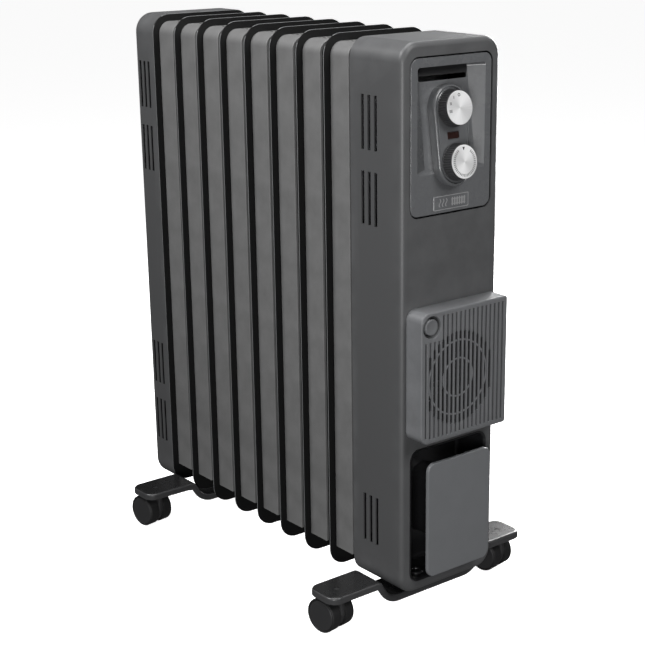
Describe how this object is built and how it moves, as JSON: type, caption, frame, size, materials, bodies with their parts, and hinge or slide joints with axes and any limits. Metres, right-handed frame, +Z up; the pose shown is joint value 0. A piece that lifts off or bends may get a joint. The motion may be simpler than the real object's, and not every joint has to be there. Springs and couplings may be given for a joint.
{
  "type": "oil filled radiator heater",
  "caption": "Portable oil filled radiator heater with a fan booster, control housing, cord store and two foot bars on swivelling twin-wheel castors.",
  "frame": {"origin": "on the floor, below the middle of the overall box", "axes": "+X from the rear cover towards the controls, +Z up, +Y to the left of someone who looks along +X"},
  "size_m": [0.503, 0.274, 0.6095],
  "materials": {
    "casing_paint": "satin grey powder coat",
    "fin_paint": "satin near-black powder coat",
    "wrap_paint": "satin mid grey powder coat",
    "bare_steel": "zinc plated",
    "heater_metal": "heat-tinted",
    "badge_metal": "fine brushed",
    "panel_plastic": "smooth blue-grey",
    "knob_plastic": "black skirt with a spun metal face",
    "lens_plastic": "dark red",
    "fan_plastic": "fine texture",
    "inner_plastic": "fine texture",
    "foot_paint": "glossy dark grey",
    "castor_plastic": "fine texture"
  },
  "bodies": {
    "body": {"rear_cover": "casing_paint", "control_housing": "casing_paint", "top_header": "fin_paint", "bottom_header": "fin_paint", "heating_element": "heater_metal", "housing_backplate": "bare_steel", "thermal_cutout": "bare_steel", "tilt_switch": "inner_plastic", "control_panel": "panel_plastic", "badge": "badge_metal", "knob_pod": "panel_plastic", "indicator_lens": "lens_plastic", "selector_switch": "inner_plastic", "thermostat": "bare_steel", "fan_grille": "fan_plastic", "fan_duct": "inner_plastic", "fan_motor": "bare_steel", "fan_heater": "heater_metal", "fan_switch": "inner_plastic", "cord_tray": "inner_plastic", "cord_cleat": "panel_plastic", "cord_gland": "inner_plastic", "front_foot": "foot_paint", "rear_foot": "foot_paint", "front_clamp_bolt": "bare_steel", "rear_clamp_bolt": "bare_steel", "front_wing_nut": "bare_steel", "rear_wing_nut": "bare_steel", "fin_1": "fin_paint", "fin_2": "fin_paint", "fin_3": "fin_paint", "fin_4": "fin_paint", "fin_5": "fin_paint", "fin_6": "fin_paint", "fin_7": "fin_paint", "fin_8": "fin_paint", "wrap_1": "wrap_paint", "wrap_2": "wrap_paint", "wrap_3": "wrap_paint", "wrap_4": "wrap_paint", "wrap_5": "wrap_paint", "wrap_6": "wrap_paint", "wrap_7": "wrap_paint", "wrap_8": "wrap_paint"},
    "selector_knob": {"selector_knob": "knob_plastic"},
    "thermostat_knob": {"thermostat_knob": "knob_plastic"},
    "fan_rotor": {"fan_rotor": "inner_plastic"},
    "fan_button": {"fan_button": "fan_plastic"},
    "castor_front_left_hood": {"castor_front_left_hood": "castor_plastic"},
    "castor_front_left_wheel_a": {"castor_front_left_wheel_a": "castor_plastic"},
    "castor_front_left_wheel_b": {"castor_front_left_wheel_b": "castor_plastic"},
    "castor_front_right_hood": {"castor_front_right_hood": "castor_plastic"},
    "castor_front_right_wheel_a": {"castor_front_right_wheel_a": "castor_plastic"},
    "castor_front_right_wheel_b": {"castor_front_right_wheel_b": "castor_plastic"},
    "castor_rear_left_hood": {"castor_rear_left_hood": "castor_plastic"},
    "castor_rear_left_wheel_a": {"castor_rear_left_wheel_a": "castor_plastic"},
    "castor_rear_left_wheel_b": {"castor_rear_left_wheel_b": "castor_plastic"},
    "castor_rear_right_hood": {"castor_rear_right_hood": "castor_plastic"},
    "castor_rear_right_wheel_a": {"castor_rear_right_wheel_a": "castor_plastic"},
    "castor_rear_right_wheel_b": {"castor_rear_right_wheel_b": "castor_plastic"}
  },
  "joints": [
    {"name": "selector_turn", "type": "hinge", "parent": "body", "child": "selector_knob", "pos_m": [0.21795, 0, 0.54036], "axis": [-0.989, 0, -0.1478], "range_deg": [0, 105]},
    {"name": "thermostat_turn", "type": "hinge", "parent": "body", "child": "thermostat_knob", "pos_m": [0.22568, 0, 0.48864], "axis": [-0.989, 0, -0.1478], "range_deg": [0, 300]},
    {"name": "fan_button_press", "type": "slide", "parent": "body", "child": "fan_button", "axis": [-1, 0, 0], "range_m": [0, 0.003], "stiffness_N_per_m": 250, "springref_m": -0.002},
    {"name": "fan_spin", "type": "hinge", "parent": "body", "child": "fan_rotor", "pos_m": [0.20205, -0.008, 0.274], "axis": [1, 0, 0], "continuous": true},
    {"name": "castor_front_left_swivel", "type": "hinge", "parent": "body", "child": "castor_front_left_hood", "pos_m": [0.18481, -0.116, 0.04], "axis": [0, 0, 1], "continuous": true},
    {"name": "castor_front_left_roll_a", "type": "hinge", "parent": "castor_front_left_hood", "child": "castor_front_left_wheel_a", "pos_m": [0.17744, -0.12699, 0.019], "axis": [-0.1564, 0.9877, 0], "continuous": true},
    {"name": "castor_front_left_roll_b", "type": "hinge", "parent": "castor_front_left_hood", "child": "castor_front_left_wheel_b", "pos_m": [0.1744, -0.10783, 0.019], "axis": [-0.1564, 0.9877, 0], "continuous": true},
    {"name": "castor_front_right_swivel", "type": "hinge", "parent": "body", "child": "castor_front_right_hood", "pos_m": [0.18481, 0.116, 0.04], "axis": [0, 0, 1], "continuous": true},
    {"name": "castor_front_right_roll_a", "type": "hinge", "parent": "castor_front_right_hood", "child": "castor_front_right_wheel_a", "pos_m": [0.17744, 0.10501, 0.019], "axis": [-0.1564, 0.9877, 0], "continuous": true},
    {"name": "castor_front_right_roll_b", "type": "hinge", "parent": "castor_front_right_hood", "child": "castor_front_right_wheel_b", "pos_m": [0.1744, 0.12417, 0.019], "axis": [-0.1564, 0.9877, 0], "continuous": true},
    {"name": "castor_rear_left_swivel", "type": "hinge", "parent": "body", "child": "castor_rear_left_hood", "pos_m": [-0.17455, -0.116, 0.04], "axis": [0, 0, 1], "continuous": true},
    {"name": "castor_rear_left_roll_a", "type": "hinge", "parent": "castor_rear_left_hood", "child": "castor_rear_left_wheel_a", "pos_m": [-0.18192, -0.12699, 0.019], "axis": [-0.1564, 0.9877, 0], "continuous": true},
    {"name": "castor_rear_left_roll_b", "type": "hinge", "parent": "castor_rear_left_hood", "child": "castor_rear_left_wheel_b", "pos_m": [-0.18496, -0.10783, 0.019], "axis": [-0.1564, 0.9877, 0], "continuous": true},
    {"name": "castor_rear_right_swivel", "type": "hinge", "parent": "body", "child": "castor_rear_right_hood", "pos_m": [-0.17455, 0.116, 0.04], "axis": [0, 0, 1], "continuous": true},
    {"name": "castor_rear_right_roll_a", "type": "hinge", "parent": "castor_rear_right_hood", "child": "castor_rear_right_wheel_a", "pos_m": [-0.18192, 0.10501, 0.019], "axis": [-0.1564, 0.9877, 0], "continuous": true},
    {"name": "castor_rear_right_roll_b", "type": "hinge", "parent": "castor_rear_right_hood", "child": "castor_rear_right_wheel_b", "pos_m": [-0.18496, 0.12417, 0.019], "axis": [-0.1564, 0.9877, 0], "continuous": true}
  ]
}
